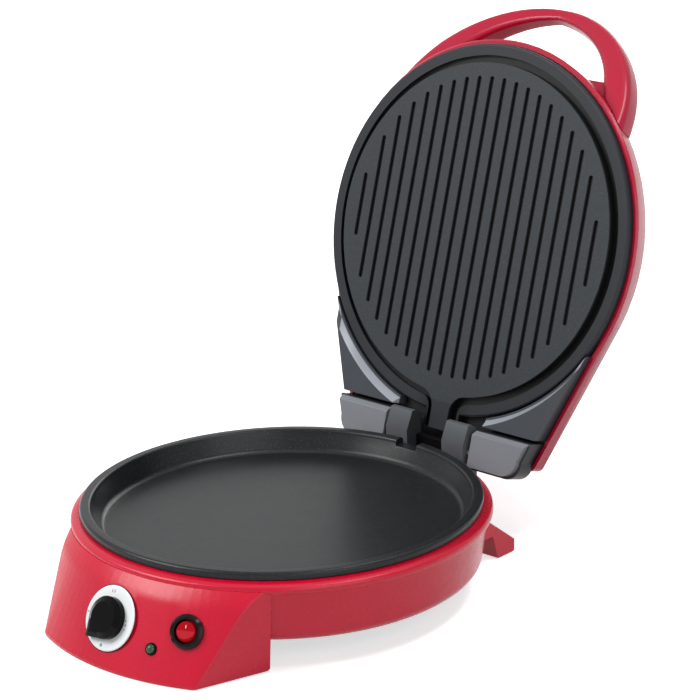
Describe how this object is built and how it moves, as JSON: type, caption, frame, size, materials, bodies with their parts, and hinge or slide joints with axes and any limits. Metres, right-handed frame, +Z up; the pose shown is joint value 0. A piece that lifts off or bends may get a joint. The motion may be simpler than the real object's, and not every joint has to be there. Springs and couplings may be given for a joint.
{
  "type": "electric pizza maker",
  "caption": "Round countertop cooker with a lower pan, a control block at the front and a domed lid with a grooved grill plate on a rear hinge.",
  "frame": {"origin": "middle of the resting box's underside: on the table, 79.3 mm behind the lower plate's centre", "axes": "+X to the object's right as seen from the controls, +Y from the controls to the hinge, +Z up"},
  "size_m": [0.3188, 0.5435, 0.3866],
  "materials": {
    "red_plastic": "glossy moulded plastic",
    "black_plastic": "plain moulded plastic",
    "grey_plastic": "satin heat-proof plastic",
    "black_gloss": "glossy",
    "dial_white": "printed dial plate",
    "red_rocker": "translucent red",
    "green_lens": "translucent green",
    "cream_plastic": "ceramic-like plastic",
    "rubber": "soft",
    "coated_aluminium": "cast aluminium with a dark non-stick coating",
    "element_steel": "heat-tinted tube",
    "sheet": "bright sheet",
    "screw_steel": "zinc plated",
    "thermostat_metal": "pressed steel"
  },
  "bodies": {
    "base": {"base_housing": "red_plastic", "bottom_cover": "black_plastic", "control_cover": "black_plastic", "rubber_pads": "rubber", "cooking_plate": "coated_aluminium", "lower_element": "element_steel", "lower_reflector": "sheet", "plate_screws": "screw_steel", "cover_screws": "screw_steel", "thermostat_body": "thermostat_metal", "dial_plate": "dial_white", "switch_bezel": "black_gloss", "indicator_bezel": "black_gloss", "indicator_lens": "green_lens", "terminal_block": "cream_plastic", "cord_gland": "black_plastic", "hinge_bracket": "grey_plastic", "hinge_pins": "screw_steel", "bracket_screws": "screw_steel"},
    "thermostat_knob": {"knob": "black_gloss", "thermostat_shaft": "screw_steel"},
    "mains_rocker": {"switch_rocker": "red_rocker"},
    "lid": {"lid_shell": "red_plastic", "lid_handle": "red_plastic", "lid_frame": "black_plastic", "hinge_arm_left": "grey_plastic", "hinge_arm_right": "grey_plastic", "hinge_cover_left": "grey_plastic", "hinge_cover_right": "grey_plastic", "grill_plate": "coated_aluminium", "upper_element": "element_steel", "upper_reflector": "sheet", "lid_screws": "screw_steel"}
  },
  "joints": [
    {"name": "lid_hinge", "type": "hinge", "parent": "base", "child": "lid", "pos_m": [0, 0.0927, 0.0677], "axis": [1, 0, 0], "range_deg": [0, 107]},
    {"name": "knob_turn", "type": "hinge", "parent": "base", "child": "thermostat_knob", "pos_m": [-0.00341, -0.25671, 0.0346], "axis": [0.0173, 0.9032, -0.4289], "range_deg": [0, 270]},
    {"name": "rocker_tilt", "type": "hinge", "parent": "base", "child": "mains_rocker", "pos_m": [0.06114, -0.24282, 0.03691], "axis": [0.9367, 0.3502, 0], "range_deg": [0, 16]}
  ]
}
